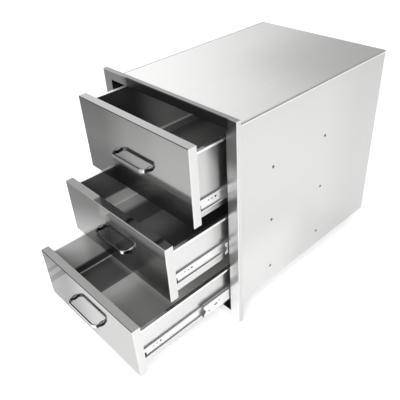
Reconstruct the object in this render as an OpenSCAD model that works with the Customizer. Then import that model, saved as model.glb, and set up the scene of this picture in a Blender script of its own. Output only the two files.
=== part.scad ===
// Drawer unit for an outdoor kitchen: a folded stainless face frame and cabinet that slide
// into a cut-out in an island, with three drawers on full-extension ball-bearing slides.
// Millimetres. X runs to the right, Y back into the island and Z up. The origin is the
// centre of the cut-out, in the plane of the island's face, where the frame seats.
// The drawers are drawn part way out.

/* [Face frame] */
// Width of the frame over its folded edges
frame_w = 457.2; // [430:0.1:520]
// Height of the frame over its folded edges
frame_h = 577; // [550:1:640]
// How far the frame stands out from the island's face
frame_depth = 12; // [9:0.5:16]
// Width of the border beside the opening
border_side = 31; // [28:0.5:40]
// Width of the border above the opening
border_top = 23.5; // [18:0.5:30]
// Width of the border below the opening
border_bottom = 26.5; // [20:0.5:34]
// Width of the folded lip that seats on the island
seat_lip_w = 9; // [6:0.5:10]
// Depth of the return round the opening, from the front of the frame
ring_depth = 24; // [22.5:0.5:29]

/* [Cabinet] */
// Depth of the whole unit, from the front of the frame to the back panel
unit_depth = 584; // [570:1:660]
// How far each cabinet side stands out beyond the opening
cabinet_flare = 12.1; // [10:0.1:15]
// Height of the cabinet floor above the lower return of the frame
floor_raise = 18.7; // [14:0.1:20]
// Sheet thickness of the frame and cabinet
sheet = 1.2; // [0.9:0.1:1.4]
// Outer radius of the folds in the sheet
fold_r = 2; // [1.6:0.1:2.6]
// Width of the weld flanges along the panel edges
flange_w = 12; // [8:1:14]

/* [Slide brackets] */
// Front pair of upright brackets, behind the island's face
front_bracket_y = 127.5; // [90:0.5:180]
// Rear pair of upright brackets, behind the island's face
rear_bracket_y = 328; // [250:1:440]
// Width of a bracket's web, which lies on the cabinet side
bracket_web_w = 26; // [20:1:32]
// Width of each of a bracket's two outer flanges, which carry the slides
bracket_brim_w = 14; // [12:0.5:20]
// How far a bracket runs past the slides above and below
bracket_overrun = 4; // [3:0.5:5]
// Height of each row of side rivets above its slide's centre
rivet_rise = 10.5; // [0:0.5:12]
// Diameter of a side rivet's domed head
rivet_head_d = 8.4; // [7:0.1:10]
// Diameter of a side rivet's shank
rivet_d = 4.8; // [4:0.1:5.4]

/* [Slides] */
// Height of a slide's cabinet member
slide_h = 45.6; // [45:0.1:47]
// Thickness of a slide between the bracket and the drawer box
slide_t = 12.7; // [12.5:0.1:14]
// Length of a slide's cabinet member
slide_length = 506; // [480:1:520]
// Height of the lowest slide's centre above the lower edge of the lower face
lower_slide_lift = 52; // [51:0.5:62]
// Height from one slide's centre to the next
slide_pitch = 153.5; // [148:0.5:160]
// Diameter of the bearing balls
ball_d = 3; // [2.8:0.05:3.1]
// Distance from one ball to the next along a cage
ball_pitch = 22; // [12:1:40]
// How far each drawer pulls out
slide_travel = 460; // [400:5:470]

/* [Drawers] */
// Height of the lower drawer's face
lower_face_h = 152; // [140:1:165]
// Height of the middle drawer's face
middle_face_h = 152; // [140:1:165]
// Thickness of a drawer's hollow face
face_t = 21.5; // [16:0.5:22]
// Gap above and below each face
face_gap = 7; // [3:0.5:8]
// Gap beside each face
face_side_gap = 2.2; // [1.5:0.1:4]
// Sheet thickness of the faces and boxes
drawer_sheet = 1; // [0.8:0.05:1.2]
// Depth of a drawer box behind its face
box_depth = 500; // [440:1:505]
// Height of the upper and middle boxes' undersides above the lower edges of their faces
box_lift = 7; // [5:0.5:20]
// Height of the lower box's underside above the lower edge of its face
lower_box_lift = 13.5; // [13.5:0.5:20]
// Height from a drawer box's rim to the upper edge of its face
rim_drop = 16; // [12:0.5:26]
// Width of the hemmed rim
hem_w = 9.5; // [6:0.1:10]
// Height of the hem's outer fold
hem_drop = 6; // [4:0.5:10]

/* [Handles] */
// Length of a handle over its bends
handle_l = 125; // [110:1:180]
// How far a handle stands out from the face
handle_standoff = 21.5; // [18:0.5:32]
// Outer radius of a handle's bends
handle_bend_r = 16; // [12:0.5:18]
// Height of the handle's flat bar
bar_h = 10.5; // [9:0.5:14]
// Thickness of the handle's flat bar
bar_t = 3.4; // [3:0.1:5]
// How far below the middle of its face a handle sits
handle_drop = 2; // [0:0.5:10]

/* [Drawn pose] */
// How far the upper drawer is drawn out
upper_open = 100; // [0:1:400]
// How far the middle drawer is drawn out
middle_open = 183.5; // [0:0.5:400]
// How far the lower drawer is drawn out
lower_open = 294.5; // [0:0.5:400]

/* [Hidden] */
$fn = 48;
// Overrun of every cut past the face that it breaks
cut = 1;

// Frame, opening and cabinet
frame_corner_r = 2;
opening_corner_r = 3;
front_y = -frame_depth;
opening_w = frame_w - 2 * border_side;
opening_h = frame_h - border_top - border_bottom;
cutout_w = opening_w + 2 * cabinet_flare;
cutout_h = opening_h + 2 * sheet;
cutout_top = cutout_h / 2;
cutout_low = -cutout_h / 2;
opening_top = cutout_top - sheet;
opening_low = cutout_low + sheet;
frame_top = opening_top + border_top;
frame_low = opening_low - border_bottom;
cabinet_front_y = front_y + ring_depth;
cabinet_back_y = front_y + unit_depth;
cabinet_half = cutout_w / 2;
floor_low = cutout_low + floor_raise;

// Slides, as distances from the bracket's face towards the drawer box
slide_x = opening_w / 2;
channel_t = 1.2;
member_t = 1;
cage_t = 0.5;
run_gap = 0.3;
race_clear = 0.1;
ball_play = 0.2;
member_fold_r = 1.5;
race_fold_r = 1.2;
race_inner_r = 0.3;
outer_cage_s = channel_t + run_gap;
mid_web_s = outer_cage_s + cage_t + run_gap;
outer_ball_s = outer_cage_s + cage_t + ball_d / 2;
outer_lip_s = outer_ball_s + ball_d / 2 + ball_play;
outer_edge_s = outer_lip_s + member_t;
step_s = outer_edge_s + run_gap;
inner_cage_s = step_s + member_t + run_gap;
inner_ball_s = inner_cage_s + cage_t + ball_d / 2;
drawer_lip_s = inner_cage_s + cage_t + run_gap;
curl_setback = 0.5;
curl_edge_s = slide_t - curl_setback;

// Slides, as heights above and below the centre line
slide_half = slide_h / 2;
outer_race_h = slide_half - channel_t;
outer_ball_h = outer_race_h - race_clear - ball_d / 2;
mid_half = outer_race_h - 2 * race_clear - ball_d;
race_drop = 2;
mid_race_half = slide_half - race_drop;
inner_race_h = mid_race_half - member_t;
inner_ball_h = inner_race_h - race_clear - ball_d / 2;
drawer_flange_half = inner_race_h - 2 * race_clear - ball_d;
web_overhang = 0.9;
drawer_half = drawer_flange_half + web_overhang;
drawer_lip_depth = 2.4;
curl_depth = 0.7;

// Slides, along their length
slide_setback = 30;
mid_setback = 27;
mid_front_trims = [0, 24, 0];
drawer_member_gap = 2.5;
bumper_t = 6;
slide_front_y = front_y + slide_setback;
slide_back_y = slide_front_y + slide_length;
bumper_y = slide_back_y - bumper_t;
mid_front_y = slide_front_y + mid_setback;
member_back_y = bumper_y - run_gap;
drawer_member_y = front_y + face_t + drawer_member_gap;
outer_overlap = member_back_y - mid_front_y - slide_travel / 4;
cage_end_gap = 6;
mid_out_y = member_back_y - slide_travel / 2;
outer_cage_l = min(mid_out_y - slide_front_y, outer_overlap) - 2 * cage_end_gap;
outer_cage_y = slide_front_y + cage_end_gap + slide_travel / 4;
inner_cage_l = slide_length - bumper_t - mid_setback - slide_travel / 2 - 2 * cage_end_gap;
inner_cage_y = mid_front_y + cage_end_gap + slide_travel / 4;

// Holes and stops in the slides
window_h = 14;
window_bridge = 16;
notch_r = 9;
notch_depth = 6;
mid_hole_d = 5.2;
mid_hole_y = 17;
mid_hole_drop = 6;
mid_slot_y = 41;
mid_slot_l = 11;
mid_slot_w = 4.4;
mid_pin_hole_d = 3.6;
mid_pin_hole_y = 53;
mid_pin_hole_rise = 5;
drawer_hole_ys = [30, 40, 51];
drawer_hole_ds = [3.4, 4, 5.6];
drawer_hole_rise = 3;
front_slot_y = 3;
front_slot_w = 4.5;
front_slot_h = 13;
screw_hole_fit = 0.1;

// Rivets between the brackets and the slides
flush_rivet_d = 4;
flush_head_d = 6.2;
flush_tail_d = 6.4;
flush_tail_t = 1.4;

// Side rivets
rivet_dome_h = 1.8;
rivet_tail_d = 7.2;
rivet_tail_t = 2.6;

// Drawers
level = ["upper", "middle", "lower"];
face_w = opening_w - 2 * face_side_gap;
upper_face_h = opening_h - lower_face_h - middle_face_h - 4 * face_gap;
face_h = [upper_face_h, middle_face_h, lower_face_h];
lower_face_low = opening_low + face_gap;
middle_face_low = lower_face_low + lower_face_h + face_gap;
upper_face_low = middle_face_low + middle_face_h + face_gap;
face_low = [upper_face_low, middle_face_low, lower_face_low];
drawn_out = [upper_open, middle_open, lower_open];
box_low = [for (i = [0, 1, 2]) face_low[i] + (i < 2 ? box_lift : lower_box_lift)];
lower_slide_z = lower_face_low + lower_slide_lift;
slide_z = [lower_slide_z + 2 * slide_pitch, lower_slide_z + slide_pitch, lower_slide_z];
box_half = slide_x - slide_t;
face_fold_r = 1.8;
box_fold_r = 2;
hem_fold_r = 1.4;
hem_inner_r = 0.4;

// Brackets
bracket_low = slide_z[2] - slide_half - bracket_overrun;
bracket_top = slide_z[0] + slide_half + bracket_overrun;
bracket_ys = [front_bracket_y, rear_bracket_y];
bracket_depth = cabinet_half - sheet - slide_x;
brim_y = (bracket_web_w + bracket_brim_w) / 2;

// Handles
foot_d = 11.8;
foot_h = 6;
bar_edge_r = 1.4;
handle_screw_d = 4;
screw_head_d = 7.4;
screw_head_t = 2.6;
screw_reach = 4.5;
screw_end_gap = 0.4;
foot_x = handle_l / 2 - bar_t / 2;

// Finishes
steel = [0.78, 0.78, 0.77];
bright_steel = [0.86, 0.86, 0.85];
dark_steel = [0.62, 0.63, 0.64];
polished = [0.9, 0.9, 0.91];
zinc = [0.74, 0.75, 0.78];
rubber = [0.12, 0.12, 0.12];

// A rectangle with round corners
module rounded_2d(x0, x1, y0, y1, r) {
    translate([x0 + r, y0])
        square([x1 - x0 - 2 * r, y1 - y0]);
    translate([x0, y0 + r])
        square([x1 - x0, y1 - y0 - 2 * r]);
    for (x = [x0 + r, x1 - r], y = [y0 + r, y1 - r])
        translate([x, y])
            circle(r);
}

// A folded channel, with its web from x0 to x1 along the first axis and its legs upwards
module channel_2d(x0, x1, y0, leg, t, r) {
    difference() {
        rounded_2d(x0, x1, y0, y0 + leg + 2 * r, r);
        rounded_2d(x0 + t, x1 - t, y0 + t, y0 + leg + 3 * r, r - t);
        translate([x0 - cut, y0 + leg])
            square([x1 - x0 + 2 * cut, 3 * r]);
    }
}

// An outline in X and Z, carried along Y
module prism_y(y0, y1) {
    translate([0, y1, 0])
        rotate([90, 0, 0])
            linear_extrude(height = y1 - y0)
                children();
}

// An outline in Y and Z, carried along X
module prism_x(x0, x1) {
    translate([x0, 0, 0])
        rotate([90, 0, 90])
            linear_extrude(height = x1 - x0)
                children();
}

// An outline in X and Y, carried along Z
module prism_z(z0, z1) {
    translate([0, 0, z0])
        linear_extrude(height = z1 - z0)
            children();
}

// A box from its lowest to its highest corner
module block(low, high) {
    translate(low)
        cube(high - low);
}

// A solid tray, open at the back, whose front edges are folded round a radius
module folded_slab(x1, y0, y1, z0, z1, r) {
    intersection() {
        prism_z(z0, z1)
            rounded_2d(-x1, x1, y0, y1 + 2 * r, r);
        prism_x(-x1, x1)
            rounded_2d(y0, y1 + 2 * r, z0, z1, r);
        block([-x1, y0, z0], [x1, y1, z1]);
    }
}

// Copies on the right, and mirrored to the left
module both_sides() {
    children();
    mirror([1, 0, 0])
        children();
}

// The child on the right, or mirrored to the left
module on_side(side) {
    mirror([side == "left" ? 1 : 0, 0, 0])
        children();
}

// Opening outline, grown by a margin
module opening_2d(grow) {
    rounded_2d(-slide_x - grow, slide_x + grow, opening_low - grow, opening_top + grow,
        opening_corner_r + grow);
}

// Front border of folded sheet: outer edge, lip that seats on the island, and a deep return
// round the opening that the faces close into
module face_frame() {
    half = frame_w / 2;
    color(bright_steel)
    difference() {
        union() {
            difference() {
                folded_slab(half, front_y, 0, frame_low, frame_top, frame_corner_r);
                folded_slab(half - sheet, front_y + sheet, -sheet, frame_low + sheet,
                    frame_top - sheet, frame_corner_r - sheet);
                block([-half + seat_lip_w, -2 * sheet, frame_low + seat_lip_w],
                    [half - seat_lip_w, cut, frame_top - seat_lip_w]);
            }
            prism_y(front_y, front_y + ring_depth)
                opening_2d(sheet);
        }
        prism_y(front_y - cut, front_y + ring_depth + cut)
            opening_2d(0);
    }
}

// Top panel, with a weld flange folded down along each side
module cabinet_top() {
    color(steel)
    union() {
        prism_y(cabinet_front_y + fold_r, cabinet_back_y - sheet)
            mirror([0, 1])
                channel_2d(-cabinet_half + sheet, cabinet_half - sheet, -cutout_top, flange_w,
                    sheet, fold_r);
        block([-cabinet_half + fold_r + sheet, cabinet_front_y, opening_top],
            [cabinet_half - fold_r - sheet, cabinet_front_y + 2 * sheet, cutout_top]);
    }
}

// Floor panel, folded down in front to meet the frame and up along each side
module cabinet_floor() {
    color(steel)
    union() {
        prism_y(cabinet_front_y + fold_r, cabinet_back_y - sheet)
            channel_2d(-cabinet_half + sheet, cabinet_half - sheet, floor_low, flange_w,
                sheet, fold_r);
        block([-cabinet_half + fold_r + sheet, cabinet_front_y, floor_low],
            [cabinet_half - fold_r - sheet, cabinet_front_y + 2 * sheet, floor_low + sheet]);
        block([-cabinet_half, cabinet_front_y, cutout_low],
            [cabinet_half, cabinet_front_y + sheet, floor_low + fold_r]);
    }
}

// Side panel, with its front edge folded in behind the frame and holes for the rivets
module cabinet_side(side) {
    color(bright_steel)
    on_side(side)
    difference() {
        prism_z(floor_low + fold_r, cutout_top)
            difference() {
                rounded_2d(slide_x - fold_r, cabinet_half, cabinet_front_y,
                    cabinet_back_y + fold_r, fold_r);
                rounded_2d(slide_x - 2 * fold_r, cabinet_half - sheet, cabinet_front_y + sheet,
                    cabinet_back_y + 2 * fold_r, fold_r - sheet);
                translate([slide_x - 2 * fold_r, cabinet_front_y - cut])
                    square([2 * fold_r, unit_depth]);
                translate([slide_x - fold_r, cabinet_back_y])
                    square([cabinet_half, 2 * fold_r]);
            }
        block([slide_x - cut, cabinet_front_y - cut, opening_top],
            [cabinet_half - fold_r, cabinet_front_y + fold_r + sheet, cutout_top + cut]);
        side_rivet_places()
            cylinder(d = rivet_d + screw_hole_fit, h = 3 * sheet, center = true);
    }
}

// Back panel, with a weld flange folded forward along each side
module cabinet_back() {
    color(steel)
    union() {
        prism_z(floor_low + sheet + flange_w, opening_top - flange_w)
            mirror([0, 1])
                channel_2d(-cabinet_half + sheet, cabinet_half - sheet, -cabinet_back_y, flange_w,
                    sheet, fold_r);
        block([-cabinet_half + sheet, cabinet_back_y - sheet, floor_low],
            [cabinet_half - sheet, cabinet_back_y, floor_low + sheet + flange_w + cut]);
        block([-cabinet_half + sheet, cabinet_back_y - sheet, opening_top - flange_w - cut],
            [cabinet_half - sheet, cabinet_back_y, cutout_top]);
    }
}

// Places of the side rivets on the right, with Z out of the cabinet
module side_rivet_places() {
    for (y = bracket_ys, z = slide_z)
        translate([cabinet_half, y, z + rivet_rise])
            rotate([0, 90, 0])
                children();
}

// Places of the rivets that hold the slides on the right, with Z towards the drawer
module slide_rivet_places() {
    for (y = bracket_ys, dy = [-brim_y, brim_y], z = slide_z)
        translate([slide_x, y + dy, z])
            rotate([0, -90, 0])
                children();
}

// Upright hat section: its web is riveted to the cabinet side, its flanges carry the slides
module slide_bracket(side, y) {
    color(dark_steel)
    on_side(side)
    difference() {
        prism_z(bracket_low, bracket_top)
            translate([slide_x, y])
                bracket_2d();
        side_rivet_places()
            cylinder(d = rivet_d + screw_hole_fit, h = 6 * sheet, center = true);
        slide_rivet_places()
            cylinder(d = flush_rivet_d + screw_hole_fit, h = 4 * sheet, center = true);
    }
}

// Section of a bracket, from the slide's face to the cabinet side
module bracket_2d() {
    web = bracket_web_w / 2;
    brim = web + bracket_brim_w;
    difference() {
        union() {
            translate([0, -brim])
                square([sheet, 2 * brim]);
            rounded_2d(-bracket_depth, bracket_depth, -web, web, fold_r);
        }
        rounded_2d(-2 * bracket_depth, bracket_depth - sheet, -web + sheet, web - sheet,
            fold_r - sheet);
        translate([-2 * bracket_depth, -brim])
            square([2 * bracket_depth, 2 * brim]);
    }
}

// A domed rivet through the cabinet side and a bracket's web
module side_rivet() {
    grip = 2 * sheet;
    intersection() {
        translate([0, 0, rivet_dome_h - rivet_dome_sphere_r()])
            sphere(rivet_dome_sphere_r());
        cylinder(d = rivet_head_d, h = 2 * rivet_dome_h);
    }
    translate([0, 0, -grip])
        cylinder(d = rivet_d, h = grip + rivet_dome_h / 4);
    translate([0, 0, -grip - rivet_tail_t])
        cylinder(d = rivet_tail_d, h = rivet_tail_t);
}

// Radius of the sphere whose cap has the rivet head's height and diameter
function rivet_dome_sphere_r() =
    (pow(rivet_head_d / 2, 2) + pow(rivet_dome_h, 2)) / (2 * rivet_dome_h);

module side_rivets() {
    color(dark_steel)
    both_sides()
        side_rivet_places()
            side_rivet();
}

// Countersunk head in the slide, shank through the bracket and a pressed tail behind it
module flush_rivet() {
    cone_h = (flush_head_d - flush_rivet_d) / 2;
    translate([0, 0, -sheet - cut / 2])
        cylinder(d = flush_rivet_d, h = sheet + channel_t);
    translate([0, 0, channel_t - cone_h])
        cylinder(d1 = flush_rivet_d, d2 = flush_head_d, h = cone_h);
    translate([0, 0, -sheet - flush_tail_t])
        cylinder(d = flush_tail_d, h = flush_tail_t);
}

module slide_rivets() {
    color(zinc)
    both_sides()
        slide_rivet_places()
            flush_rivet();
}

// A slide's profile on the right, whose first axis runs from the bracket to the drawer
module slide_profile(i) {
    translate([slide_x, slide_z[i]])
        mirror([1, 0])
            children();
}

// Strips at equal heights above and below the centre line
module above_and_below() {
    children();
    mirror([0, 1])
        children();
}

// Section of a cabinet member: a channel whose edges turn in behind the balls
module cabinet_member_2d() {
    mouth = outer_race_h - member_t;
    difference() {
        rounded_2d(0, outer_edge_s, -slide_half, slide_half, member_fold_r);
        rounded_2d(channel_t, outer_lip_s, -outer_race_h, outer_race_h, race_inner_r);
        translate([outer_ball_s, -mouth])
            square([slide_t, 2 * mouth]);
    }
}

// Section of an intermediate member: a channel inside the outer balls, which steps out to
// hook over the inner balls
module intermediate_member_2d() {
    rotate(-90)
        channel_2d(-mid_half, mid_half, mid_web_s, step_s + member_t - mid_web_s, member_t,
            member_fold_r);
    above_and_below()
        difference() {
            rounded_2d(step_s, curl_edge_s, mid_half - member_t, mid_race_half, race_fold_r);
            rounded_2d(step_s + member_t, curl_edge_s - member_t, mid_half - 4 * member_t,
                inner_race_h, race_inner_r);
            translate([step_s + member_t, mid_half - 2 * member_t])
                square([slide_t, inner_race_h - curl_depth - mid_half + 2 * member_t]);
            translate([step_s - cut, mid_half - 2 * member_t])
                square([cut + member_t / 2, member_t]);
        }
}

// Section of a drawer member: its web lies on the box and its edges turn in past the balls
module drawer_member_2d() {
    race = drawer_flange_half - member_t;
    mouth = race - drawer_lip_depth;
    difference() {
        union() {
            translate([slide_t - member_t, -drawer_half])
                square([member_t, 2 * drawer_half]);
            rounded_2d(drawer_lip_s, slide_t, -drawer_flange_half, drawer_flange_half,
                member_fold_r);
        }
        rounded_2d(drawer_lip_s + member_t, slide_t - member_t, -race, race, race_inner_r);
        translate([drawer_lip_s - cut, -mouth])
            square([cut + 2 * member_t, 2 * mouth]);
    }
}

// A channel's rear bumper, in the end of a cabinet member
module slide_bumpers() {
    color(rubber)
    both_sides()
        for (i = [0, 1, 2])
            prism_y(bumper_y, slide_back_y)
                slide_profile(i)
                    rounded_2d(channel_t, slide_t - curl_setback, -window_h, window_h,
                        member_fold_r);
}

// Fixed member of a slide, riveted to both brackets
module cabinet_member(i, side) {
    cone_h = (flush_head_d - flush_rivet_d) / 2;
    color(zinc)
    on_side(side)
    difference() {
        prism_y(slide_front_y, slide_back_y)
            slide_profile(i)
                cabinet_member_2d();
        slide_rivet_places() {
            cylinder(d = flush_rivet_d + screw_hole_fit, h = 4 * channel_t, center = true);
            translate([0, 0, channel_t - cone_h])
                cylinder(d1 = flush_rivet_d + screw_hole_fit,
                    d2 = flush_head_d + screw_hole_fit, h = cone_h);
            translate([0, 0, channel_t])
                cylinder(d = flush_head_d + screw_hole_fit, h = cut / 4);
        }
    }
}

// Hole through the webs of a slide's members, at a distance behind a front edge
module web_hole(i, y, rise, d) {
    translate([slide_x, y, slide_z[i] + rise])
        rotate([0, 90, 0])
            cylinder(d = d, h = 3 * slide_t, center = true);
}

// Middle member of a slide, with a notched front end that catches its stop
module intermediate_member(i, side) {
    y0 = mid_front_y + mid_front_trims[i] - drawn_out[i] / 2;
    y1 = member_back_y - drawn_out[i] / 2;
    color(zinc)
    on_side(side)
    difference() {
        prism_y(y0, y1)
            slide_profile(i)
                intermediate_member_2d();
        web_hole(i, y0 - notch_r + notch_depth, 0, 2 * notch_r);
        web_hole(i, y0 + mid_hole_y, -mid_hole_drop, mid_hole_d);
        web_hole(i, y0 + mid_pin_hole_y, mid_pin_hole_rise, mid_pin_hole_d);
        for (dy = [mid_slot_w - mid_slot_l, mid_slot_l - mid_slot_w])
            web_hole(i, y0 + mid_slot_y + dy / 2, 0, mid_slot_w);
        block([0, y0 + mid_slot_y - (mid_slot_l - mid_slot_w) / 2, slide_z[i] - mid_slot_w / 2],
            [slide_x, y0 + mid_slot_y + (mid_slot_l - mid_slot_w) / 2, slide_z[i] + mid_slot_w / 2]);
    }
}

// Moving member of a slide, fixed to the drawer box
module drawer_member(i, side) {
    y0 = drawer_member_y - drawn_out[i];
    color(zinc)
    on_side(side)
    difference() {
        prism_y(y0, member_back_y - drawn_out[i])
            slide_profile(i)
                drawer_member_2d();
        for (k = [0 : len(drawer_hole_ys) - 1])
            web_hole(i, y0 + drawer_hole_ys[k], drawer_hole_rise, drawer_hole_ds[k]);
        block([box_half, y0 + front_slot_y, slide_z[i] - front_slot_h],
            [slide_x, y0 + front_slot_y + front_slot_w, slide_z[i]]);
    }
}

// A bent strip that holds the balls of one bearing apart, above and below, at distance s
// from the bracket and height h from the centre line
module ball_cage(i, y, length, s, h, ball_s) {
    count = floor((length - ball_pitch / 2) / ball_pitch);
    first = y + (length - (count - 1) * ball_pitch) / 2;
    half = h + cage_t / 2;
    difference() {
        prism_y(y, y + length)
            slide_profile(i) {
                translate([s, -half])
                    square([cage_t, 2 * half]);
                above_and_below()
                    translate([s, half - cage_t])
                        square([ball_s - s + ball_d / 2, cage_t]);
            }
        block([0, y + window_bridge, slide_z[i] - window_h],
            [slide_x, y + length - window_bridge, slide_z[i] + window_h]);
    }
    for (k = [0 : count - 1], side = [-1, 1])
        translate([slide_x - ball_s, first + k * ball_pitch, slide_z[i] + side * h])
            sphere(d = ball_d);
}

// Cages between the cabinet members and the intermediate members
module outer_ball_cages(i) {
    color(dark_steel)
    both_sides()
        ball_cage(i, outer_cage_y - drawn_out[i] / 4, outer_cage_l, outer_cage_s, outer_ball_h,
            outer_ball_s);
}

// Cages between the intermediate members and the drawer members
module inner_ball_cages(i) {
    color(dark_steel)
    both_sides()
        ball_cage(i, inner_cage_y + mid_front_trims[i] - drawn_out[i] * 3 / 4,
            inner_cage_l - mid_front_trims[i], inner_cage_s, inner_ball_h, inner_ball_s);
}

// Hollow face: one sheet folded back on all four sides, drilled for its handle
module drawer_face(i) {
    half = face_w / 2;
    y0 = front_y - drawn_out[i];
    z0 = face_low[i];
    z1 = z0 + face_h[i];
    t = drawer_sheet;
    color(steel)
    difference() {
        folded_slab(half, y0, y0 + face_t, z0, z1, face_fold_r);
        folded_slab(half - t, y0 + t, y0 + face_t + cut, z0 + t, z1 - t, face_fold_r - t);
        handle_feet(i)
            cylinder(d = handle_screw_d + 2 * screw_hole_fit, h = 4 * t, center = true);
    }
}

// Inner panel that closes the back of a face and is the front wall of the box
module face_liner(i) {
    half = face_w / 2 - drawer_sheet;
    y1 = front_y - drawn_out[i] + face_t;
    color(steel)
        block([-half, y1 - drawer_sheet, face_low[i] + drawer_sheet],
            [half, y1, face_low[i] + face_h[i] - drawer_sheet]);
}

// Hem along the rim of a wall whose inner face is at x0, folded away from the box
module hem_2d(x0, rim) {
    t = drawer_sheet;
    difference() {
        rounded_2d(x0, x0 + hem_w, rim - hem_drop - hem_w, rim, hem_fold_r);
        rounded_2d(x0 + t, x0 + hem_w - t, rim - hem_drop - 2 * hem_w, rim - t, hem_inner_r);
        translate([x0 - cut, rim - hem_drop - 2 * hem_w])
            square([hem_w + 2 * cut, 2 * hem_w]);
    }
}

// Drawer box: floor and two sides from one sheet, with hemmed rims
module drawer_box(i) {
    y0 = front_y - drawn_out[i] + face_t;
    low = box_low[i];
    rim = face_low[i] + face_h[i] - rim_drop;
    t = drawer_sheet;
    color(steel)
    prism_y(y0, y0 + box_depth) {
        channel_2d(-box_half, box_half, low, rim - low - hem_fold_r, t, box_fold_r);
        for (m = [0, 1])
            mirror([m, 0])
                hem_2d(box_half - t, rim);
    }
}

// Rear wall of a drawer box, with its own hem
module drawer_box_back(i) {
    y1 = front_y - drawn_out[i] + face_t + box_depth;
    rim = face_low[i] + face_h[i] - rim_drop;
    low = box_low[i] + drawer_sheet;
    half = box_half - drawer_sheet;
    t = drawer_sheet;
    color(steel)
    union() {
        block([-half, y1 - hem_w, low + box_fold_r], [half, y1 - hem_w + t, rim - hem_fold_r]);
        prism_x(-half, half)
            translate([y1 - hem_w, 0])
                hem_2d(0, rim);
    }
}

// Height of a handle's middle
function handle_z(i) = face_low[i] + face_h[i] / 2 - handle_drop;

// Feet of a handle, with Z out of the face
module handle_feet(i) {
    for (x = [-foot_x, foot_x])
        translate([x, front_y - drawn_out[i], handle_z(i)])
            rotate([90, 0, 0])
                children();
}

// Section of the handle's bar, with its outer side at the given radius
module bar_2d(outer) {
    rounded_2d(outer - bar_t, outer, -bar_h / 2, bar_h / 2, bar_edge_r);
}

// Flat-bar pull: straight grip, two quarter bends and round feet tapped from behind
module handle(i) {
    straight = handle_l / 2 - handle_bend_r;
    y = front_y - drawn_out[i] - handle_standoff;
    color(polished)
    difference() {
        union() {
            translate([0, y, handle_z(i)]) {
                prism_x(-straight, straight)
                    translate([bar_t, 0])
                        bar_2d(0);
                both_sides()
                    translate([straight, handle_bend_r, 0]) {
                        rotate([0, 0, -90])
                            rotate_extrude(angle = 90)
                                bar_2d(handle_bend_r);
                        prism_y(0, handle_standoff - handle_bend_r)
                            bar_2d(handle_bend_r);
                    }
            }
            handle_feet(i)
                cylinder(d = foot_d, h = foot_h);
        }
        handle_feet(i)
            translate([0, 0, -cut])
                cylinder(d = handle_screw_d + screw_hole_fit, h = screw_reach + screw_end_gap + cut);
    }
}

// Screws from inside the hollow face into the handle's feet
module handle_screws(i) {
    color(zinc)
    handle_feet(i) {
        translate([0, 0, -drawer_sheet - screw_head_t])
            cylinder(d = screw_head_d, h = screw_head_t);
        translate([0, 0, -drawer_sheet - screw_head_t / 2])
            cylinder(d = handle_screw_d, h = drawer_sheet + screw_head_t / 2 + screw_reach);
    }
}

face_frame();
cabinet_top();
cabinet_floor();
cabinet_side("left");  // cabinet_left_side
cabinet_side("right");  // cabinet_right_side
cabinet_back();
slide_bracket("left", front_bracket_y);  // left_front_bracket
slide_bracket("left", rear_bracket_y);  // left_rear_bracket
slide_bracket("right", front_bracket_y);  // right_front_bracket
slide_bracket("right", rear_bracket_y);  // right_rear_bracket
side_rivets();
slide_rivets();
slide_bumpers();
for (i = [0, 1, 2]) {
    drawer_face(i);
    face_liner(i);
    drawer_box(i);
    drawer_box_back(i);
    handle(i);
    handle_screws(i);
    outer_ball_cages(i);
    inner_ball_cages(i);
    for (side = ["left", "right"]) {
        drawer_member(i, side);
        intermediate_member(i, side);
        cabinet_member(i, side);
    }
}
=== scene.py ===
"""Looks of an outdoor kitchen drawer unit: brushed sheet steel, zinc slides and polished handles,
on a plain pale floor in soft studio light."""

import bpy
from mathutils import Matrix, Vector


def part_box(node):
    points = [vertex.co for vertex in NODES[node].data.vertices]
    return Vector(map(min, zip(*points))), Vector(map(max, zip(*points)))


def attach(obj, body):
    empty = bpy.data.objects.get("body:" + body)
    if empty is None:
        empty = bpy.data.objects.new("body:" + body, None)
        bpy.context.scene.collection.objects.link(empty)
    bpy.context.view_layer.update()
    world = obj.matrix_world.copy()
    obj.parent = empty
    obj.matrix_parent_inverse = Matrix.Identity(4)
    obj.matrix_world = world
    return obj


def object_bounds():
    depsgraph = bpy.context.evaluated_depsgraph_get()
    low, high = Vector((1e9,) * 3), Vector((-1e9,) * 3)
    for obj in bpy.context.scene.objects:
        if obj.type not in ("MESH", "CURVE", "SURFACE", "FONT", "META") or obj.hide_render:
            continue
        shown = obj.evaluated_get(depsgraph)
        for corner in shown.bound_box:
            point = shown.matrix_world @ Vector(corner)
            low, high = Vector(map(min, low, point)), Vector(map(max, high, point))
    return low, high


bl_info = {
    "name": "Kitchen drawer unit looks",
    "version": (1, 0, 0),
    "blender": (4, 5, 0),
    "location": "3D View > Sidebar > Drawer Unit",
    "description": "Finishes, small pieces and studio for an outdoor kitchen drawer unit",
    "category": "Object",
}

import math

import bpy
import numpy as np
from bpy.props import FloatProperty, FloatVectorProperty, PointerProperty
from mathutils import Matrix, Vector

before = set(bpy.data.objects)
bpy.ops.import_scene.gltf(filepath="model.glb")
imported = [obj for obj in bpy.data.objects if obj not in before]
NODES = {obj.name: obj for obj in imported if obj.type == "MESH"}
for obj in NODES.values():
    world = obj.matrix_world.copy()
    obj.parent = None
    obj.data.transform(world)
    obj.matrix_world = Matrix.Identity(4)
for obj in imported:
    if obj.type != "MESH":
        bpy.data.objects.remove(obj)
CAD_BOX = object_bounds()
LEVELS = ("upper", "middle", "lower")
SIDES = ("left", "right")

# Border of an area where the surface turns away from its direction
DIRECTION_BORDER = 0.1
# How steeply the line behind an area's slant climbs
SLANT_RISE = 0.93


# Shader values

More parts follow.
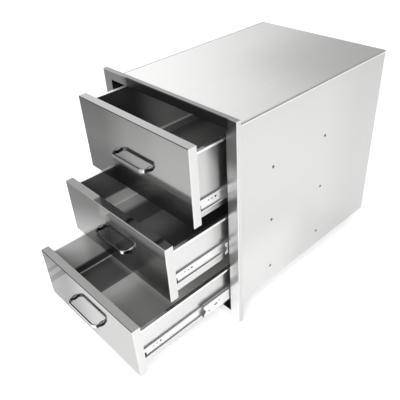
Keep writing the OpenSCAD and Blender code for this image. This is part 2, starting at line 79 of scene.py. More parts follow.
class Value:
    """A number that varies over a surface. Arithmetic on it in Python becomes Math nodes."""

    def __init__(self, finish, socket):
        self.finish = finish
        self.socket = socket

    def _math(self, operation, *terms):
        return self.finish.node("ShaderNodeMath", {"operation": operation}, dict(enumerate(terms)))

    def __add__(self, other):
        return self._math("ADD", self, other)

    def __sub__(self, other):
        return self._math("SUBTRACT", self, other)

    def __rsub__(self, other):
        return self._math("SUBTRACT", other, self)

    def __mul__(self, other):
        return self._math("MULTIPLY", self, other)

    def __abs__(self):
        return self._math("ABSOLUTE", self)

    __radd__ = __add__

    def least(self, other):
        """The smaller of the two."""
        return self._math("MINIMUM", self, other)

    def most(self, other):
        """The larger of the two."""
        return self._math("MAXIMUM", self, other)

    def rise(self, low, high):
        """0 below low and 1 above high, with a smooth curve between them."""
        return self.finish.node(
            "ShaderNodeMapRange",
            {"interpolation_type": "SMOOTHSTEP"},
            {"Value": self, "From Min": low, "From Max": high},
        )


class Finish:
    """A node tree being filled, with one method that makes its nodes."""

    def __init__(self, tree):
        self.tree = tree
        tree.nodes.clear()

    def node(self, kind, settings=None, inputs=None, output=0):
        """Makes a node, gives it its settings and then its inputs, and returns one output."""
        made = self.tree.nodes.new(kind)
        for key, setting in (settings or {}).items():
            setattr(made, key, setting)
        for key, given in (inputs or {}).items():
            if isinstance(given, Value):
                self.tree.links.new(given.socket, made.inputs[key])
            else:
                made.inputs[key].default_value = given
        return Value(self, made.outputs[output]) if made.outputs else None

    def place(self):
        """Object coordinates, in metres."""
        return self.node("ShaderNodeTexCoord", output="Object")

    def facing(self):
        """The surface's own direction, in the piece's axes."""
        return self.node("ShaderNodeTexCoord", output="Normal")

    def axes(self, vector):
        """The three parts of a vector."""
        part = self.node("ShaderNodeSeparateXYZ", inputs={0: vector})
        return [Value(self, socket) for socket in part.socket.node.outputs]

    def within(self, soft, limits):
        """1 where every named quantity lies between its two limits, and 0 further out than a soft
        border. x, y and z are places in metres, and slant is how far z lies above a line that
        rises to the right. to_x, to_y and to_z are the parts of the surface's direction, and they
        have a border of their own."""
        places = dict(zip(("x", "y", "z"), self.axes(self.place())))
        places["slant"] = places["z"] - places["x"] * SLANT_RISE
        places.update(zip(("to_x", "to_y", "to_z"), self.axes(self.facing())))
        inside = 1.0
        for name, (low, high) in limits.items():
            border = DIRECTION_BORDER if name.startswith("to_") else soft
            if low is not None:
                inside = places[name].rise(low - border, low) * inside
            if high is not None:
                inside = (1 - places[name].rise(high, high + border)) * inside
        return inside

    def stretched(self, vector, scales):
        """A vector with each axis multiplied by its own number."""
        return self.node(
            "ShaderNodeVectorMath", {"operation": "MULTIPLY"}, {0: vector, 1: scales}
        )

    def noise(self, vector, scale=1.0, detail=2.0, roughness=0.5):
        """Smooth noise from 0 to 1, in about 1/scale of the vector's units."""
        return self.node(
            "ShaderNodeTexNoise",
            inputs={"Vector": vector, "Scale": scale, "Detail": detail, "Roughness": roughness},
            output="Fac",
        )

    def blend(self, factor, first, second):
        """A colour between two colours."""
        return self.node(
            "ShaderNodeMix", {"data_type": "RGBA"}, {0: factor, 6: first, 7: second}, output=2
        )

    def scaled(self, vector, factor):
        """A vector or colour multiplied by a number."""
        return self.node(
            "ShaderNodeVectorMath", {"operation": "SCALE"}, {0: vector, "Scale": factor}
        )

    def bump(self, height, depth):
        """A normal that follows a height from 0 to 1, whose real depth is in metres."""
        return self.node("ShaderNodeBump", inputs={"Height": height, "Distance": depth})


def new_material(name):
    """An empty material with a Finish to fill it."""
    material = bpy.data.materials.new(name)
    material.use_nodes = True
    return material, Finish(material.node_tree)


def close_material(finish, sockets):
    """A Principled shader with the given sockets, joined to the output."""
    shader = finish.node("ShaderNodeBsdfPrincipled", inputs=sockets)
    finish.node("ShaderNodeOutputMaterial", inputs={"Surface": shader})


def shade(grey, tint=(1, 1, 1)):
    """A colour of one lightness, with a slight tint."""
    return (grey * tint[0], grey * tint[1], grey * tint[2], 1)


# Finishes
#
# An area is a soft border in metres, the limits of Finish.within, and the grey, roughness or
# metallic that holds inside them. A later area lies over an earlier one. Most of them stand for
# what the polished steel mirrors in the photo: lighter and darker parts of a studio.

# Repeats in a metre of the sheet's wide polish bands, along and across its grain, and of its clouds
BAND_ALONG = 1.2
BAND_ACROSS = 60.0
CLOUDS = 9.0

STEEL_TINT = (1.0, 0.998, 0.985)
ZINC_TINT = (0.985, 0.995, 1.0)

# Directions and walls that many areas share
FRONT = {"to_y": (None, -0.5)}
TOP = {"to_z": (0.5, None)}
BEND = {"to_z": (0.3, 0.9)}
RIGHT = {"to_x": (0.5, None)}
LEFT = {"to_x": (None, -0.5)}
LEFT_WALL = {"x": (None, 0.0), **RIGHT}
RIGHT_WALL = {"x": (0.0, None), **RIGHT}

# Half the width and half the height of the ring round the opening, where the frame turns inward and
# is painted near black as shade inside the cabinet
RING_X = 0.1984
RING_Z = 0.2643
# Lower and upper edge of the painted highlight under the fold on the cabinet's right side
FOLD_HIGHLIGHT = (0.2585, 0.2617)
# Piece, grain, grain of surfaces that face along the first, grey, roughness and areas
# The greys differ from panel to panel as painted light, and the areas below are painted
# reflections, painted highlights and painted shade
CABINET_FINISH = (
    ("face_frame", "z", "y", 0.60, 0.3, (
        # Painted reflections on the frame's front, a painted dark line along its top edge, painted
        # shade on its top and painted lighter returns
        (0.05, {"z": (0.2, None), **FRONT}, {"grey": 0.2}),
        (0.04, {"z": (None, 0.1), **FRONT}, {"grey": 0.6}),
        (0.06, {"z": (None, -0.15), **FRONT}, {"grey": 0.88}),
        (0.01, {"z": (0.28, None), **TOP}, {"grey": 0.32}),
        (0.01, {"z": (0.264, None), "x": (-0.13, 0.2), **FRONT}, {"grey": 0.07}),
        (0.03, {"x": (None, -0.16), "z": (0.2, None), **FRONT}, {"grey": 0.4}),
        (0.01, RIGHT, {"grey": 0.67}),
        (0.0005, {"x": (-RING_X, RING_X), "z": (-RING_Z, RING_Z)}, {"grey": 0.04}),
    )),
    ("cabinet_top", "y", "x", 0.87, 0.17, (
        # Painted darker reflection towards the back right
        (0.25, {"x": (0.1, None), "y": (0.4, None)}, {"grey": 0.73}),
    )),
    ("cabinet_floor", "y", "x", 0.66, 0.26, ()),
    # The left side's inner face is painted dark as shade inside the cabinet
    ("cabinet_left_side", "y", "z", 0.6, 0.2, ((0.01, RIGHT, {"grey": 0.1}),)),
    ("cabinet_right_side", "y", "z", 0.65, 0.2, (
        # Painted lighter reflection low at the front and darker towards the back, a painted
        # highlight under the fold and a painted dark reflection above it
        (0.15, {"z": (None, -0.15), "y": (None, 0.15)}, {"grey": 0.76}),
        (0.2, {"y": (0.5, None)}, {"grey": 0.58}),
        (0.0006, {"z": FOLD_HIGHLIGHT, **RIGHT}, {"grey": 0.8}),
        (0.0006, {"z": (FOLD_HIGHLIGHT[1], None), **RIGHT}, {"grey": 0.25}),
    )),
    ("cabinet_back", "x", "z", 0.70, 0.26, ()),
)

# Base grey of each drawer face, which differs from face to face as painted reflection
FACE_REFLECTION_GREYS = {"upper": 0.55, "middle": 0.58, "lower": 0.4}
# The faces' side returns are painted lighter, as painted light
PAINTED_LIGHT_RETURNS = ((0.01, RIGHT, {"grey": 0.66}), (0.01, LEFT, {"grey": 0.66}))
# The rounded top edge of a face is painted dark, as painted dark reflection
PAINTED_DARK_BEND = (0.01, BEND, {"grey": 0.03})
# Painted reflections on each face: lighter and darker parts, painted dark streaks across the lower
# face and painted shade on the tops
FACE_PAINTED_REFLECTIONS = {
    "upper": (
        (0.14, {"x": (None, -0.12)}, {"grey": 0.32}),
        (0.08, {"x": (None, -0.06), "z": (None, 0.1)}, {"grey": 0.24}),
        (0.1, {"x": (0.12, None)}, {"grey": 0.65}),
        (0.06, {"x": (-0.04, None), "z": (None, 0.07)}, {"grey": 0.24}),
        (0.01, TOP, {"grey": 0.48}),
        *PAINTED_LIGHT_RETURNS,
        PAINTED_DARK_BEND,
    ),
    "middle": (
        (0.004, {"x": (None, -0.02)}, {"grey": 0.3}),
        (0.08, {"x": (0.04, None)}, {"grey": 0.8}),
        (0.05, {"x": (0.1, None), "z": (None, -0.05)}, {"grey": 0.4}),
        (0.02, {"x": (-0.04, None), "z": (0.035, None), **FRONT}, {"grey": 0.42}),
        (0.01, {"x": (-0.066, None), **TOP}, {"grey": 0.09}),
        *PAINTED_LIGHT_RETURNS,
        (0.01, {"x": (-0.09, None), **BEND}, {"grey": 0.4}),
    ),
    "lower": (
        (0.17, {"x": (None, -0.11)}, {"grey": 0.13}),
        (0.003, {"slant": (-0.003, 0.005), **FRONT}, {"grey": 0.02}),
        (0.003, {"slant": (-0.038, -0.023), **FRONT}, {"grey": 0.01}),
        (0.01, TOP, {"grey": 0.32}),
        *PAINTED_LIGHT_RETURNS,
        PAINTED_DARK_BEND,
    ),
}

# Each box's inner left wall and outer right wall: a duller finish whose grey differs from box to
# box as painted light, with painted shade towards the front, the top or the bottom and painted
# light near the front of the lower box
WALL_PAINTED_LIGHT = {
    "upper": (
        (0.001, LEFT_WALL, {"grey": 0.62, "roughness": 0.35, "metallic": 0.1}),
        (0.13, {"y": (None, 0.03), **LEFT_WALL}, {"grey": 0.05}),
        (0.001, RIGHT_WALL, {"grey": 0.6}),
        (0.06, {"y": (-0.01, 0.03), **RIGHT_WALL}, {"grey": 0.3}),
    ),
    "middle": (
        (0.001, LEFT_WALL, {"grey": 1.0, "roughness": 0.3, "metallic": 0.1}),
        (0.01, {"z": (-0.04, None), **LEFT_WALL}, {"grey": 0.16}),
    ),
    "lower": (
        (0.001, LEFT_WALL, {"grey": 0.62, "roughness": 0.3, "metallic": 0.1}),
        (0.05, {"y": (None, -0.21), **LEFT_WALL}, {"grey": 1.0}),
        (0.012, {"z": (None, -0.217), **LEFT_WALL}, {"grey": 0.08}),
    ),
}
# Places in x where the tops of the walls' hems begin and where the right hem's outer face lies
HEM_TOP_X = 0.1834
HEM_SIDE_X = 0.19
# A painted dark reflection on the tops of the right hems, and painted highlights on the right hem's
# outer face and on the tops of the left hems
HEM_PAINTED_LIGHT = (
    (0.0005, {"x": (HEM_TOP_X, None), "to_z": (0.6, None)}, {"grey": 0.3}),
    (0.0005, {"x": (HEM_SIDE_X, None), **RIGHT}, {"grey": 1.0}),
    (0.0005, {"x": (None, -HEM_TOP_X), "to_z": (0.3, None)}, {"grey": 1.0, "metallic": 0.2}),
)

# The box's wall is painted near black, as painted shade, behind each slide, except this far from
# the slide's two long edges
SLIDE_EDGE = 0.003

# Heights of the raised floor panels over the undersides of the boxes
FLOOR_RISE = {"upper": 0.0145, "middle": 0.0115, "lower": 0.005}
# The panels' sheet thickness, bend radius and points, flange height, and gaps to the box's front
# and back and to its walls
PANEL_SHEET = 0.001
PANEL_BEND = 0.004
BEND_POINTS = 9
PANEL_FLANGE = 0.006
PANEL_GAP = 0.0003
PANEL_SIDE_GAP = 0.0002
# Grey, roughness, metallic, areas, and the painted highlight along the left fold: its limit in x,
# its height over the panel's underside and its grey. The greys differ from floor to floor as
# painted shade, and the areas are painted reflections and painted shade
FLOOR_FINISH = {
    "upper": (0.18, 0.25, 0.2, (
        (0.01, {"x": (None, -0.155)}, {"grey": 0.28}),
        (0.06, {"x": (-0.08, None)}, {"grey": 0.36}),
    ), (-0.1806, 0.006, 1.0)),
    "middle": (0.15, 0.2, 0.3, (
        (0.03, {"x": (None, -0.15)}, {"grey": 0.74}),
        (0.005, {"x": (-0.064, None)}, {"grey": 0.3}),
        (0.08, {"x": (0.05, None)}, {"grey": 0.08}),
    ), (-0.178, 0.006, 1.0)),
    "lower": (0.58, 0.25, 0.2, (
        (0.003, {"x": (None, -0.079)}, {"grey": 0.12}),
        (0.12, {"x": (0.02, None)}, {"grey": 0.32}),
        (0.06, {"y": (-0.08, None)}, {"grey": 1.0}),
    ), (-0.1806, 0.003, 0.6)),
}

# Soft border, limits and grey of the parts of a handle's bar: painted reflections, by the way each
# part faces
HANDLE_PAINTED_REFLECTIONS = (
    (0.01, {"to_y": (None, -0.93)}, 0.42),
    (0.01, {"to_x": (0.2, 0.75)}, 0.9),
    (0.01, {"to_x": (None, -0.3)}, 0.012),
    (0.01, {"to_x": (0.85, None)}, 0.02),
)


def edge_closeness(finish, low, high, width):
    """1 on the edges of a box, 0 further from them than the width. Each axis gives the distance to
    the nearer of its two walls, the smallest is nought on a wall, so the middle one is the
    distance to the nearest edge."""
    x, y, z = (
        abs(place - (a + b) / 2) * -1 + (b - a) / 2
        for place, a, b in zip(finish.axes(finish.place()), low, high)
    )
    middle = x.least(y).most(x.most(y).least(z))
    return 1 - middle.rise(0.0, width)


def brushed_steel(name, piece, grain, cross, settings, grey, roughness, metallic=0.85, areas=()):
    """Brushed sheet steel. The grain is noise drawn out along one axis, or along another on
    surfaces that face the first. It moves the lightness, the roughness and a bump of a few
    microns. Wide soft bands and clouds vary the polish, and the edges of the piece's box are
    rubbed brighter. Each area is a soft border, limits for Finish.within, and its own grey,
    roughness or metallic."""
    material, finish = new_material(name)
    place = finish.place()
    turned = abs(finish.axes(finish.facing())["xyz".index(grain)]).rise(0.6, 0.8)
    fine = 1 / settings.grain_pitch
    long = 1 / settings.grain_length

    def drawn(axis):
        return tuple(long if letter == axis else fine for letter in "xyz")

    streak = finish.noise(finish.stretched(place, drawn(grain)), detail=3)
    other = finish.noise(finish.stretched(place, drawn(cross)), detail=3)
    streak = streak + turned * (other - streak)
    band_scales = tuple(BAND_ALONG if letter == grain else BAND_ACROSS for letter in "xyz")
    band = finish.noise(finish.stretched(place, band_scales), detail=3)
    cloud = finish.noise(place, scale=CLOUDS, detail=4, roughness=0.6)
    low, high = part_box(piece)
    worn = edge_closeness(finish, low, high, settings.edge_wear) * cloud.rise(0.3, 0.6)
    light = 0.5 + (streak - 0.5) * settings.grain_contrast + (band - 0.5) * 0.25 + worn * 0.35
    base = {"grey": grey, "roughness": roughness, "metallic": metallic}
    # The areas paint light and shade over the steel's own grey
    for soft, limits, given in areas:
        inside = finish.within(soft, limits)
        for key, target in given.items():
            base[key] = base[key] + inside * (target - base[key])
    colour = finish.blend(light.rise(0.0, 1.0), shade(0.93, STEEL_TINT), shade(1.07, STEEL_TINT))
    rough = (
        base["roughness"]
        + (streak - 0.5) * settings.grain_contrast * 0.25
        + (cloud - 0.5) * 0.06
        + (band - 0.5) * 0.05
        - worn * 0.06
    )
    close_material(finish, {
        "Base Color": finish.scaled(colour, base["grey"]),
        "Metallic": base["metallic"],
        "Roughness": rough,
        "Normal": finish.bump(streak, settings.grain_depth),
    })
    return material


def rolled_zinc(name, settings):
    """Zinc on rolled steel: small crystal patches, faint roll lines along the slide, and duller
    where the patches meet. Surfaces that face along the slide are painted far darker, and those
    that face up or down a little darker, as painted shade on the cut ends and in the curved ball
    races."""
    material, finish = new_material(name)
    place = finish.place()
    patch = finish.node(
        "ShaderNodeTexVoronoi", inputs={"Vector": place, "Scale": 1 / settings.patch_size},
        output="Color",
    )
    patch = finish.axes(patch)[0]
    lines = finish.noise(finish.stretched(place, (900, 6, 900)), detail=2)
    cloud = finish.noise(place, scale=25, detail=3)
    light = 0.3 + patch * 0.2 + (lines - 0.5) * 0.3 + cloud * 0.35
    to_x, to_y, to_z = finish.axes(finish.facing())
    # Painted shade: far darker on surfaces that face along the slide, a little darker on those that
    # face up or down
    tone = (1 - abs(to_y).rise(0.4, 0.6) * 0.95) * (1 - abs(to_z).rise(0.3, 0.6) * 0.4)
    close_material(finish, {
        "Base Color": finish.scaled(finish.blend(
            light.rise(0.0, 1.0), shade(settings.grey * 0.86, ZINC_TINT),
            shade(settings.grey, ZINC_TINT),
        ), tone),
        "Metallic": 0.75,
        "Roughness": settings.roughness + (patch - 0.5) * 0.03 + (lines - 0.5) * 0.08,
        "Normal": finish.bump(lines, 0.00001),
    })
    return material


def polished_metal(name, grey, roughness, areas=()):
    """Polished metal with faint smears and hairline scratches in the polish. Each area is a soft
    border, limits for Finish.within, and its own grey."""
    material, finish = new_material(name)
    place = finish.place()
    cloud = finish.noise(place, scale=40, detail=4, roughness=0.65)
    hair = finish.noise(finish.stretched(place, (30, 1800, 1800)), detail=2)
    tone = grey
    # The areas paint reflections over the metal's own grey
    for soft, limits, target in areas:
        tone = tone + finish.within(soft, limits) * (target - tone)
    close_material(finish, {
        "Base Color": finish.scaled(
            finish.blend(cloud.rise(0.3, 0.8), shade(0.95), shade(1.0)), tone
        ),
        "Metallic": 1.0,
        "Roughness": roughness + cloud.rise(0.35, 0.8) * 0.04 + hair.rise(0.6, 0.8) * 0.04,
        "Normal": finish.bump(hair, 0.000002),
    })
    return material


def turned_steel(name, grey, roughness, metallic=1.0):
    """Plain steel fasteners: fine speckle and duller patches."""
    material, finish = new_material(name)
    place = finish.place()
    speck = finish.noise(place, scale=900, detail=3)
    cloud = finish.noise(place, scale=120, detail=2)
    close_material(finish, {
        "Base Color": finish.blend(cloud.rise(0.3, 0.7), shade(grey * 0.88), shade(grey)),
        "Metallic": metallic,
        "Roughness": roughness + (speck - 0.5) * 0.1 + (cloud - 0.5) * 0.1,
        "Normal": finish.bump(speck, 0.00001),
    })
    return material


def moulded_rubber(name):
    """Dark rubber with a fine matt texture and a little dust."""
    material, finish = new_material(name)
    place = finish.place()
    pores = finish.noise(place, scale=1600, detail=3)
    dust = finish.noise(place, scale=60, detail=4).rise(0.5, 0.8)
    close_material(finish, {
        "Base Color": finish.blend(dust, shade(0.02), shade(0.05)),
        "Roughness": 0.62 + (pores - 0.5) * 0.2 + dust * 0.1,
        "Normal": finish.bump(pores, 0.00004),
    })
    return material


def sheet_piece(name, outer, inner, y0, y1):
    """A closed piece of sheet whose section lies between two paths in X and Z with the same number
    of points, carried from y0 to y1. Quads join each path to itself along Y, and the two paths
    to each other at both ends and along both edges."""
    count = len(outer)
    loop = np.concatenate((outer, inner[::-1]))
    rings = [np.column_stack((loop[:, 0], np.full(2 * count, y), loop[:, 1])) for y in (y0, y1)]
    here = np.arange(2 * count)
    following = (here + 1) % (2 * count)
    around = np.stack((here, following, following + 2 * count, here + 2 * count), axis=1)
    step = np.arange(count - 1)
    far = 2 * count - 1 - step
    front = np.stack((step, far, far - 1, step + 1), axis=1)
    faces = np.concatenate((around, front, front[:, ::-1] + 2 * count))
    mesh = bpy.data.meshes.new(name)
    mesh.from_pydata(np.concatenate(rings).tolist(), [], faces.tolist())
    piece = bpy.data.objects.new(name, mesh)
    bpy.context.scene.collection.objects.link(piece)
    return piece


def coat(name, material):
    """Puts one material on every slot of a CAD piece."""
    piece = NODES[name]
    if not piece.material_slots:
        piece.data.materials.append(material)
    for slot in piece.material_slots:
        slot.material = material


# Width of the camera's sensor in millimetres
SENSOR_WIDTH = 36
# Gap between the unit and the floor it stands on
FLOOR_DROP = 0.001
# The floor is painted darker, as painted shade, this far from the origin, on this side of the unit
DARK_FLOOR_START = 0.49
DARK_FLOOR_SIDE = (-0.396, -0.918)
# Level directions to the right of the view and to the camera
VIEW_RIGHT = (0.656, 0.754)
TO_CAMERA = (0.616, -0.536)
# Name, place, point it faces, width in metres and power in watts of each lamp
LAMPS = (
    ("overhead_softbox", (0.1, -0.3, 2.4), (0.1, 0.2, 0.0), 2.4, 17),
    ("drawer_softbox", (0.95, -1.4, 1.25), (0.0, -0.1, 0.0), 1.4, 30),
)


# Sizes and colours that a user would change

class StudioSettings(bpy.types.PropertyGroup):
    """Camera, floor and light from all round"""
    camera_place: FloatVectorProperty(
        name="Camera Place", description="Where the camera stands",
        default=(0.8467, -0.6573, 0.7381), subtype="TRANSLATION", unit="LENGTH",
    )
    camera_azimuth: FloatProperty(
        name="Camera Azimuth", description="Angle round the unit, from straight in front",
        default=math.radians(48.976), subtype="ANGLE", unit="ROTATION",
    )
    camera_elevation: FloatProperty(
        name="Camera Elevation", description="Angle above the level",
        default=math.radians(35.280), subtype="ANGLE", unit="ROTATION",
    )
    camera_roll: FloatProperty(
        name="Camera Roll", description="Tilt of the camera about its own axis",
        default=math.radians(-3.882), subtype="ANGLE", unit="ROTATION",
    )
    camera_lens: FloatProperty(
        name="Lens", description="Focal length in millimetres on a 36 mm sensor",
        default=45.781, min=10,
    )
    floor_side: FloatProperty(
        name="Floor Side", description="Side of the square floor", default=9.0, unit="LENGTH",
    )
    floor_glow: FloatProperty(
        name="Floor Glow", description="Light that the floor gives of itself", default=0.42,
    )
    room_light: FloatProperty(
        name="Room Light", description="Strength of the soft light from all round", default=1.0,
    )


class SheetSettings(bpy.types.PropertyGroup):
    """Brushed lines and rubbed edges of the sheet steel"""
    grain_pitch: FloatProperty(
        name="Grain Pitch", description="Width of a brushed line", default=0.0005,
        unit="LENGTH", precision=5,
    )
    grain_length: FloatProperty(
        name="Grain Length", description="Length of a brushed line", default=0.05, unit="LENGTH",
    )
    grain_depth: FloatProperty(
        name="Grain Depth", description="Depth of a brushed line", default=0.000006,
        unit="LENGTH", precision=6,
    )
    grain_contrast: FloatProperty(
        name="Grain Contrast", description="How much the lines differ in lightness and polish",
        default=0.35, min=0, max=1, subtype="FACTOR",
    )
    edge_wear: FloatProperty(
        name="Edge Wear", description="Width of the brighter rubbed edges", default=0.0025,
        unit="LENGTH", precision=4,
    )


class SlideSettings(bpy.types.PropertyGroup):
    """Zinc of the slides"""
    patch_size: FloatProperty(
        name="Zinc Patch", description="Size of the zinc's crystal patches", default=0.003,
        unit="LENGTH", precision=4,
    )
    grey: FloatProperty(
        name="Zinc Lightness", description="Lightness of the zinc", default=0.93, min=0, max=1,
        subtype="FACTOR",
    )
    roughness: FloatProperty(
        name="Zinc Roughness", description="Roughness of the zinc", default=0.3, min=0, max=1,
        subtype="FACTOR",
    )


class DrawerUnitLooks(bpy.types.PropertyGroup):
    """All settings of the drawer unit's looks"""
    studio: PointerProperty(type=StudioSettings)
    sheet: PointerProperty(type=SheetSettings)
    slides: PointerProperty(type=SlideSettings)


def looks():
    """The settings of this scene."""
    return bpy.context.scene.drawer_unit_looks


# Operators

class UNIT_OT_studio(bpy.types.Operator):
    """Camera, pale floor and soft light"""
    bl_idname = "drawer_unit.studio"
    bl_label = "Studio"

    def execute(self, context):
        settings = looks().studio
        self.add_camera(settings)
        self.add_floor(settings)
        self.add_room(settings)
        self.add_lamps()
        context.scene.view_settings.view_transform = "Standard"
        context.scene.cycles.glossy_bounces = 12
        return {"FINISHED"}

    def add_camera(self, settings):
        """A camera at the photo's place, turned by azimuth, elevation and roll."""
        turn, lift, roll = settings.camera_azimuth, settings.camera_elevation, settings.camera_roll
        back = Vector((
            math.sin(turn) * math.cos(lift), -math.cos(turn) * math.cos(lift), math.sin(lift)
        ))
        right = Vector((math.cos(turn), math.sin(turn), 0))
        up = back.cross(right)
        columns = (
            math.cos(roll) * right + math.sin(roll) * up,
            math.cos(roll) * up - math.sin(roll) * right,
            back,
        )
        lens = bpy.data.cameras.new("photo_camera")
        lens.sensor_width = SENSOR_WIDTH
        lens.lens = settings.camera_lens
        camera = bpy.data.objects.new("photo_camera", lens)
        bpy.context.scene.collection.objects.link(camera)
        camera.matrix_world = (
            Matrix.Translation(settings.camera_place) @ Matrix(columns).transposed().to_4x4()
        )
        bpy.context.scene.camera = camera

    def add_floor(self, settings):
        """A square pale floor under the unit. It glows a little, and it is painted darker in front
        and to the left of the unit, as painted shade, which the drawer faces mirror."""
        half = settings.floor_side / 2
        level = CAD_BOX[0][2] - FLOOR_DROP
        mesh = bpy.data.meshes.new("floor")
        mesh.from_pydata(
            [(-half, -half, level), (half, -half, level), (half, half, level),
             (-half, half, level)], [], [(0, 1, 2, 3)],
        )
        floor = bpy.data.objects.new("floor", mesh)
        bpy.context.scene.collection.objects.link(floor)
        material, finish = new_material("pale_floor")
        x, y, z = finish.axes(finish.place())
        away = x * DARK_FLOOR_SIDE[0] + y * DARK_FLOOR_SIDE[1] - DARK_FLOOR_START
        # Painted shade on the floor, growing away from the unit on its dark side
        far = away.rise(-0.07, 0.1) + away.rise(0.2, 0.8) * 0.2
        grain = (finish.noise(finish.place(), scale=3.0, detail=3) - 0.5) * 0.02
        pale = 1 - far * 0.56 + grain
        close_material(finish, {
            "Base Color": finish.blend(pale, shade(0.0), shade(0.9)),
            "Roughness": 0.85,
            "Emission Color": finish.blend(pale, shade(0.0), shade(1.0)),
            "Emission Strength": settings.floor_glow,
        })
        mesh.materials.append(material)

    def add_room(self, settings):
        """Soft light from all round. More comes from the left of the view than from its right, and
        least from the camera's side."""
        world = bpy.data.worlds.new("room")
        world.use_nodes = True
        bpy.context.scene.world = world
        finish = Finish(world.node_tree)
        x, y, z = finish.axes(finish.node("ShaderNodeTexCoord", output="Generated"))
        right = (x * VIEW_RIGHT[0] + y * VIEW_RIGHT[1]).rise(-0.15, 0.38)
        near = (x * TO_CAMERA[0] + y * TO_CAMERA[1]).rise(-0.1, 0.6)
        level = (1.1 - right * 0.66) * (1 - near * 0.8)
        glow = finish.node(
            "ShaderNodeBackground", inputs={"Color": level, "Strength": settings.room_light}
        )
        finish.node("ShaderNodeOutputWorld", inputs={"Surface": glow})

    def add_lamps(self):
        """Soft square lamps that light the unit and that its steel doesn't mirror."""
        for name, place, target, width, power in LAMPS:
            lamp = bpy.data.lights.new(name, "AREA")
            lamp.size = width
            lamp.energy = power
            thing = bpy.data.objects.new(name, lamp)
            thing.visible_glossy = False
            bpy.context.scene.collection.objects.link(thing)
            away = Vector(place) - Vector(target)
            thing.matrix_world = (
                Matrix.Translation(place) @ away.to_track_quat("Z", "Y").to_matrix().to_4x4()
            )


class UNIT_OT_cabinet(bpy.types.Operator):
    """Brushed steel of the face frame and the cabinet's panels"""
    bl_idname = "drawer_unit.cabinet"
    bl_label = "Frame and Cabinet"

    def execute(self, context):
        sheet = looks().sheet
        for name, grain, cross, grey, roughness, areas in CABINET_FINISH:
            coat(name, brushed_steel(
                name + "_steel", name, grain, cross, sheet, grey, roughness, areas=areas
            ))
        for side in SIDES:
            for end in ("front", "rear"):
                name = f"{side}_{end}_bracket"
                coat(name, brushed_steel(
                    name + "_steel", name, "z", "y", sheet, grey=0.6, roughness=0.32
                ))
        return {"FINISHED"}


class UNIT_OT_drawers(bpy.types.Operator):
    """Brushed steel of the drawer faces and boxes"""
    bl_idname = "drawer_unit.drawers"
    bl_label = "Drawers"

    def execute(self, context):
        sheet = looks().sheet
        for level in LEVELS:
            name = level + "_face"
            coat(name, brushed_steel(
                name + "_steel", name, "x", "z", sheet, grey=FACE_REFLECTION_GREYS[level], roughness=0.09,
                metallic=0.96, areas=FACE_PAINTED_REFLECTIONS[level],
            ))
            for part, roughness in (("face_liner", 0.2), ("box_back", 0.25)):
                name = f"{level}_{part}"
                coat(name, brushed_steel(
                    name + "_steel", name, "x", "z", sheet, grey=0.4, roughness=roughness,
                    metallic=0.78,
                ))
            low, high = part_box(f"{level}_right_drawer_member")
            shade_behind_slide = {"z": (low.z + SLIDE_EDGE, high.z - SLIDE_EDGE), **RIGHT_WALL}
            name = level + "_box"
            coat(name, brushed_steel(
                name + "_steel", name, "y", "x", sheet, grey=0.76, roughness=0.15, metallic=0.92,
                areas=(
                    (0.001, RIGHT_WALL, {"grey": 0.7, "roughness": 0.3}),
                    *WALL_PAINTED_LIGHT[level],
                    # Painted shade on the wall behind the slide
                    (0.0005, shade_behind_slide, {"grey": 0.01}),
                    *HEM_PAINTED_LIGHT,
                ),
            ))
        return {"FINISHED"}


class UNIT_OT_floor_panels(bpy.types.Operator):
    """Floor panels of the drawers, raised on the lower edges of the boxes' walls"""
    bl_idname = "drawer_unit.floor_panels"
    bl_label = "Drawer Floors"

    def execute(self, context):
        sheet = looks().sheet
        for level in LEVELS:
            back_low, back_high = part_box(level + "_box_back")
            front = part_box(level + "_face_liner")[1][1] + PANEL_GAP
            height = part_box(level + "_box")[0][2] + FLOOR_RISE[level]
            name = level + "_floor_panel"
            outer, inner = self.section(back_high[0] - PANEL_SIDE_GAP, height)
            panel = sheet_piece(name, outer, inner, front, back_low[1] - PANEL_GAP)
            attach(panel, level + "_drawer")
            grey, roughness, metallic, areas, (highlight_x, highlight_height, highlight_grey) = FLOOR_FINISH[level]
            # The painted highlight along the left fold
            line = {"x": (None, highlight_x), "z": (None, height + highlight_height)}
            panel.data.materials.append(brushed_steel(
                name + "_steel", level + "_box", "y", "x", sheet, grey, roughness, metallic,
                (*areas, (0.0006, line, {"grey": highlight_grey, "metallic": 0.0})),
            ))
        return {"FINISHED"}

    def section(self, half, height):
        """Flat between two upright flanges, joined to them by quarter circles. The second path is
        the first, moved in by the thickness of the sheet."""
        turn = np.linspace(0, np.pi / 2, BEND_POINTS)
        paths = []
        for inset in (0, PANEL_SHEET):
            bend = PANEL_BEND - inset
            x = half - PANEL_BEND + bend * np.concatenate(([1], np.cos(turn)))
            z = height + PANEL_BEND - bend * np.concatenate(([0], np.sin(turn)))
            z[0] = height + PANEL_FLANGE
            paths.append(np.stack((
                np.concatenate((-x, x[::-1])), np.concatenate((z, z[::-1]))
            ), axis=1))
        return paths


class UNIT_OT_handles(bpy.types.Operator):
    """Polished handles and their screws"""
    bl_idname = "drawer_unit.handles"
    bl_label = "Handles"

    def execute(self, context):
        # A near-black polish with painted reflections on the parts of the bar
        polish = polished_metal(
            "handle_polish", grey=0.035, roughness=0.04, areas=HANDLE_PAINTED_REFLECTIONS
        )
        screws = turned_steel("screw_metal", grey=0.85, roughness=0.3, metallic=0.2)
        for level in LEVELS:
            coat(f"{level}_handle", polish)
            coat(f"{level}_handle_screws", screws)
        return {"FINISHED"}


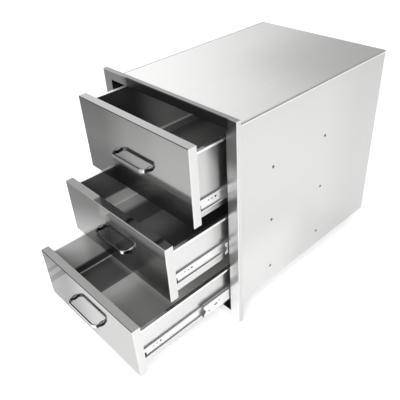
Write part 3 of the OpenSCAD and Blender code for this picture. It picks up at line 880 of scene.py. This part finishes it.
class UNIT_OT_slides(bpy.types.Operator):
    """Zinc of the slides, their balls and their rubber bumpers"""
    bl_idname = "drawer_unit.slides"
    bl_label = "Slides"

    def execute(self, context):
        zinc = rolled_zinc("slide_zinc_coat", looks().slides)
        balls = polished_metal("ball_polish", grey=0.75, roughness=0.12)
        for level in LEVELS:
            for side in SIDES:
                for member in ("cabinet", "intermediate", "drawer"):
                    coat(f"{level}_{side}_{member}_member", zinc)
            for stage in ("outer", "inner"):
                coat(f"{level}_{stage}_ball_cages", balls)
        coat("slide_bumpers", moulded_rubber("bumper_rubber_skin"))
        return {"FINISHED"}


class UNIT_OT_rivets(bpy.types.Operator):
    """Metal of the rivets in the cabinet sides and behind the slides"""
    bl_idname = "drawer_unit.rivets"
    bl_label = "Rivets"

    def execute(self, context):
        coat("side_rivets", turned_steel("side_rivet_metal", grey=0.22, roughness=0.24))
        coat("slide_rivets", turned_steel("slide_rivet_metal", grey=0.7, roughness=0.3))
        return {"FINISHED"}


class UNIT_PT_panel(bpy.types.Panel):
    """Lists the steps that make the drawer unit's looks"""
    bl_idname = "UNIT_PT_panel"
    bl_label = "Drawer Unit"
    bl_space_type = "VIEW_3D"
    bl_region_type = "UI"
    bl_category = "Drawer Unit"

    def draw(self, context):
        settings = looks()
        for title, group in (
            ("Studio", settings.studio), ("Sheet Steel", settings.sheet),
            ("Slides", settings.slides),
        ):
            box = self.layout.box()
            box.label(text=title)
            for name in group.__annotations__:
                box.prop(group, name)
        for step in STEPS:
            self.layout.operator(step.bl_idname)


STEPS = (
    UNIT_OT_studio, UNIT_OT_cabinet, UNIT_OT_drawers, UNIT_OT_floor_panels, UNIT_OT_handles,
    UNIT_OT_slides, UNIT_OT_rivets,
)
CLASSES = (StudioSettings, SheetSettings, SlideSettings, DrawerUnitLooks, *STEPS, UNIT_PT_panel)


def register():
    """Registers every class and hangs the settings on the scene."""
    for made in CLASSES:
        bpy.utils.register_class(made)
    bpy.types.Scene.drawer_unit_looks = PointerProperty(type=DrawerUnitLooks)


def unregister():
    """Takes the settings and every class away again."""
    del bpy.types.Scene.drawer_unit_looks
    for made in reversed(CLASSES):
        bpy.utils.unregister_class(made)


def main():
    """Runs every step."""
    register()
    bpy.ops.drawer_unit.studio()
    bpy.ops.drawer_unit.cabinet()
    bpy.ops.drawer_unit.drawers()
    bpy.ops.drawer_unit.floor_panels()
    bpy.ops.drawer_unit.handles()
    bpy.ops.drawer_unit.slides()
    bpy.ops.drawer_unit.rivets()


if __name__ == "__main__":
    main()
